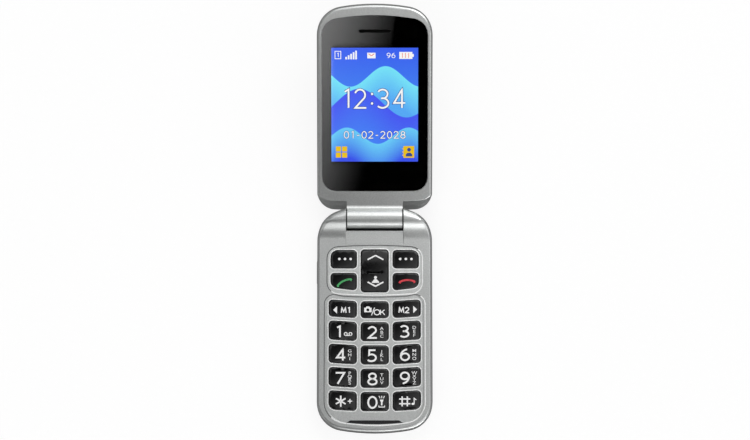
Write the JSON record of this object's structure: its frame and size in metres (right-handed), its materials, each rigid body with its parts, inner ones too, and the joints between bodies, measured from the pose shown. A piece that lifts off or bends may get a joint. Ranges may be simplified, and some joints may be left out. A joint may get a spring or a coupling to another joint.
{
  "type": "clamshell mobile phone",
  "caption": "Open clamshell phone with a display lid on a friction hinge, a sunken keypad of separate sprung keys and a sliding battery cover.",
  "frame": {"origin": "centre of the base's flat back, on the battery cover", "axes": "+Z out of the keypad, away from the surface the phone lies on; +Y along the phone towards the lid; +X to the right of a user facing the keypad, along the hinge"},
  "size_m": [0.0562, 0.205, 0.0456],
  "materials": {
    "base_front_housing": "satin silver paint on moulded plastic",
    "base_rear_housing": "moulded black plastic frame",
    "battery_cover": "satin silver paint on moulded plastic",
    "battery": "printed wrap over a flat cell",
    "battery_contacts": "gold-plated spring contacts in a black block",
    "main_pcb": "green solder mask",
    "shield_cans": "tinned sheet",
    "keypad_mat": "translucent silicone",
    "dome_sheet": "film with snap domes",
    "microphone": "metal can",
    "loudspeaker": "black basket",
    "speaker_mesh": "black dust mesh",
    "vibration_motor": "metal can with a half-round weight",
    "usb_socket": "drawn steel shell",
    "sim_holder": "stamped sheet",
    "antenna": "plated plastic carrier",
    "base_screws": "hex-recess screws",
    "volume_key": "satin silver paint on moulded plastic",
    "hinge_bush": "turned steel",
    "hinge_shaft": "turned steel",
    "hinge_cartridge": "drawn steel sleeve",
    "lid_front_housing": "satin silver paint on moulded plastic",
    "window_lens": "clear hard-coated window",
    "window_mask": "black ink behind the window",
    "display_module": "lit colour display",
    "display_frame": "stamped tray",
    "earpiece": "black capsule",
    "earpiece_mesh": "black woven mesh",
    "lid_pcb": "green solder mask",
    "lid_outer_cover": "satin silver paint on moulded plastic",
    "outer_window": "smoked window",
    "outer_display": "unlit display",
    "camera_module": "black camera barrel",
    "camera_lens": "black-rimmed cover glass",
    "torch_led": "white lamp with a yellow phosphor",
    "lid_magnet": "plated magnet",
    "lid_screws": "hex-recess screws",
    "flex_cable": "amber flexible circuit",
    "key_soft_left": "gloss black with pale legend",
    "key_soft_right": "gloss black with pale legend",
    "key_nav": "gloss black with pale legend",
    "key_call": "gloss black with pale legend",
    "key_end": "gloss black with pale legend",
    "key_m1": "gloss black with pale legend",
    "key_ok": "gloss black with pale legend",
    "key_m2": "gloss black with pale legend",
    "key_1": "gloss black with pale legend",
    "key_2": "gloss black with pale legend",
    "key_3": "gloss black with pale legend",
    "key_4": "gloss black with pale legend",
    "key_5": "gloss black with pale legend",
    "key_6": "gloss black with pale legend",
    "key_7": "gloss black with pale legend",
    "key_8": "gloss black with pale legend",
    "key_9": "gloss black with pale legend",
    "key_star": "gloss black with pale legend",
    "key_0": "gloss black with pale legend",
    "key_hash": "gloss black with pale legend"
  },
  "bodies": {
    "base": {"base_front_housing": "base_front_housing", "base_rear_housing": "base_rear_housing", "battery": "battery", "battery_contacts": "battery_contacts", "main_pcb": "main_pcb", "shield_cans": "shield_cans", "keypad_mat": "keypad_mat", "dome_sheet": "dome_sheet", "microphone": "microphone", "loudspeaker": "loudspeaker", "speaker_mesh": "speaker_mesh", "vibration_motor": "vibration_motor", "usb_socket": "usb_socket", "sim_holder": "sim_holder", "antenna": "antenna", "base_screws": "base_screws", "hinge_bush": "hinge_bush", "hinge_shaft": "hinge_shaft"},
    "lid": {"lid_front_housing": "lid_front_housing", "window_lens": "window_lens", "window_mask": "window_mask", "display_module": "display_module", "display_frame": "display_frame", "earpiece": "earpiece", "earpiece_mesh": "earpiece_mesh", "lid_pcb": "lid_pcb", "lid_outer_cover": "lid_outer_cover", "outer_window": "outer_window", "outer_display": "outer_display", "camera_module": "camera_module", "camera_lens": "camera_lens", "torch_led": "torch_led", "lid_magnet": "lid_magnet", "lid_screws": "lid_screws", "flex_cable": "flex_cable", "hinge_cartridge": "hinge_cartridge"},
    "battery_cover": {"battery_cover": "battery_cover"},
    "volume_key": {"volume_key": "volume_key"},
    "key_soft_left": {"key_soft_left": "key_soft_left"},
    "key_soft_right": {"key_soft_right": "key_soft_right"},
    "key_nav": {"key_nav": "key_nav"},
    "key_call": {"key_call": "key_call"},
    "key_end": {"key_end": "key_end"},
    "key_m1": {"key_m1": "key_m1"},
    "key_ok": {"key_ok": "key_ok"},
    "key_m2": {"key_m2": "key_m2"},
    "key_1": {"key_1": "key_1"},
    "key_2": {"key_2": "key_2"},
    "key_3": {"key_3": "key_3"},
    "key_4": {"key_4": "key_4"},
    "key_5": {"key_5": "key_5"},
    "key_6": {"key_6": "key_6"},
    "key_7": {"key_7": "key_7"},
    "key_8": {"key_8": "key_8"},
    "key_9": {"key_9": "key_9"},
    "key_star": {"key_star": "key_star"},
    "key_0": {"key_0": "key_0"},
    "key_hash": {"key_hash": "key_hash"}
  },
  "joints": [
    {"name": "lid_hinge", "type": "hinge", "parent": "base", "child": "lid", "pos_m": [0, 0.05225, 0.0106], "axis": [1, 0, 0], "range_deg": [0, 160]},
    {"name": "battery_cover_slide", "type": "slide", "parent": "base", "child": "battery_cover", "axis": [0, -1, 0], "range_m": [0, 0.095]},
    {"name": "volume_key_rock", "type": "hinge", "parent": "base", "child": "volume_key", "pos_m": [-0.026, 0.02625, 0.0055], "axis": [0, 0, 1], "range_deg": [-2, 2], "stiffness_Nm_per_rad": 0.2},
    {"name": "key_nav_rock", "type": "hinge", "parent": "base", "child": "key_nav", "pos_m": [0, 0.02647, 0.0082], "axis": [1, 0, 0], "range_deg": [-2.2, 2.2], "stiffness_Nm_per_rad": 0.2},
    {"name": "key_soft_left_press", "type": "slide", "parent": "base", "child": "key_soft_left", "axis": [0, 0, -1], "range_m": [0, 0.0004], "stiffness_N_per_m": 400, "springref_m": -0.001},
    {"name": "key_soft_right_press", "type": "slide", "parent": "base", "child": "key_soft_right", "axis": [0, 0, -1], "range_m": [0, 0.0004], "stiffness_N_per_m": 400, "springref_m": -0.001},
    {"name": "key_call_press", "type": "slide", "parent": "base", "child": "key_call", "axis": [0, 0, -1], "range_m": [0, 0.0004], "stiffness_N_per_m": 400, "springref_m": -0.001},
    {"name": "key_end_press", "type": "slide", "parent": "base", "child": "key_end", "axis": [0, 0, -1], "range_m": [0, 0.0004], "stiffness_N_per_m": 400, "springref_m": -0.001},
    {"name": "key_m1_press", "type": "slide", "parent": "base", "child": "key_m1", "axis": [0, 0, -1], "range_m": [0, 0.0004], "stiffness_N_per_m": 400, "springref_m": -0.001},
    {"name": "key_ok_press", "type": "slide", "parent": "base", "child": "key_ok", "axis": [0, 0, -1], "range_m": [0, 0.0004], "stiffness_N_per_m": 400, "springref_m": -0.001},
    {"name": "key_m2_press", "type": "slide", "parent": "base", "child": "key_m2", "axis": [0, 0, -1], "range_m": [0, 0.0004], "stiffness_N_per_m": 400, "springref_m": -0.001},
    {"name": "key_1_press", "type": "slide", "parent": "base", "child": "key_1", "axis": [0, 0, -1], "range_m": [0, 0.0004], "stiffness_N_per_m": 400, "springref_m": -0.001},
    {"name": "key_2_press", "type": "slide", "parent": "base", "child": "key_2", "axis": [0, 0, -1], "range_m": [0, 0.0004], "stiffness_N_per_m": 400, "springref_m": -0.001},
    {"name": "key_3_press", "type": "slide", "parent": "base", "child": "key_3", "axis": [0, 0, -1], "range_m": [0, 0.0004], "stiffness_N_per_m": 400, "springref_m": -0.001},
    {"name": "key_4_press", "type": "slide", "parent": "base", "child": "key_4", "axis": [0, 0, -1], "range_m": [0, 0.0004], "stiffness_N_per_m": 400, "springref_m": -0.001},
    {"name": "key_5_press", "type": "slide", "parent": "base", "child": "key_5", "axis": [0, 0, -1], "range_m": [0, 0.0004], "stiffness_N_per_m": 400, "springref_m": -0.001},
    {"name": "key_6_press", "type": "slide", "parent": "base", "child": "key_6", "axis": [0, 0, -1], "range_m": [0, 0.0004], "stiffness_N_per_m": 400, "springref_m": -0.001},
    {"name": "key_7_press", "type": "slide", "parent": "base", "child": "key_7", "axis": [0, 0, -1], "range_m": [0, 0.0004], "stiffness_N_per_m": 400, "springref_m": -0.001},
    {"name": "key_8_press", "type": "slide", "parent": "base", "child": "key_8", "axis": [0, 0, -1], "range_m": [0, 0.0004], "stiffness_N_per_m": 400, "springref_m": -0.001},
    {"name": "key_9_press", "type": "slide", "parent": "base", "child": "key_9", "axis": [0, 0, -1], "range_m": [0, 0.0004], "stiffness_N_per_m": 400, "springref_m": -0.001},
    {"name": "key_star_press", "type": "slide", "parent": "base", "child": "key_star", "axis": [0, 0, -1], "range_m": [0, 0.0004], "stiffness_N_per_m": 400, "springref_m": -0.001},
    {"name": "key_0_press", "type": "slide", "parent": "base", "child": "key_0", "axis": [0, 0, -1], "range_m": [0, 0.0004], "stiffness_N_per_m": 400, "springref_m": -0.001},
    {"name": "key_hash_press", "type": "slide", "parent": "base", "child": "key_hash", "axis": [0, 0, -1], "range_m": [0, 0.0004], "stiffness_N_per_m": 400, "springref_m": -0.001}
  ]
}
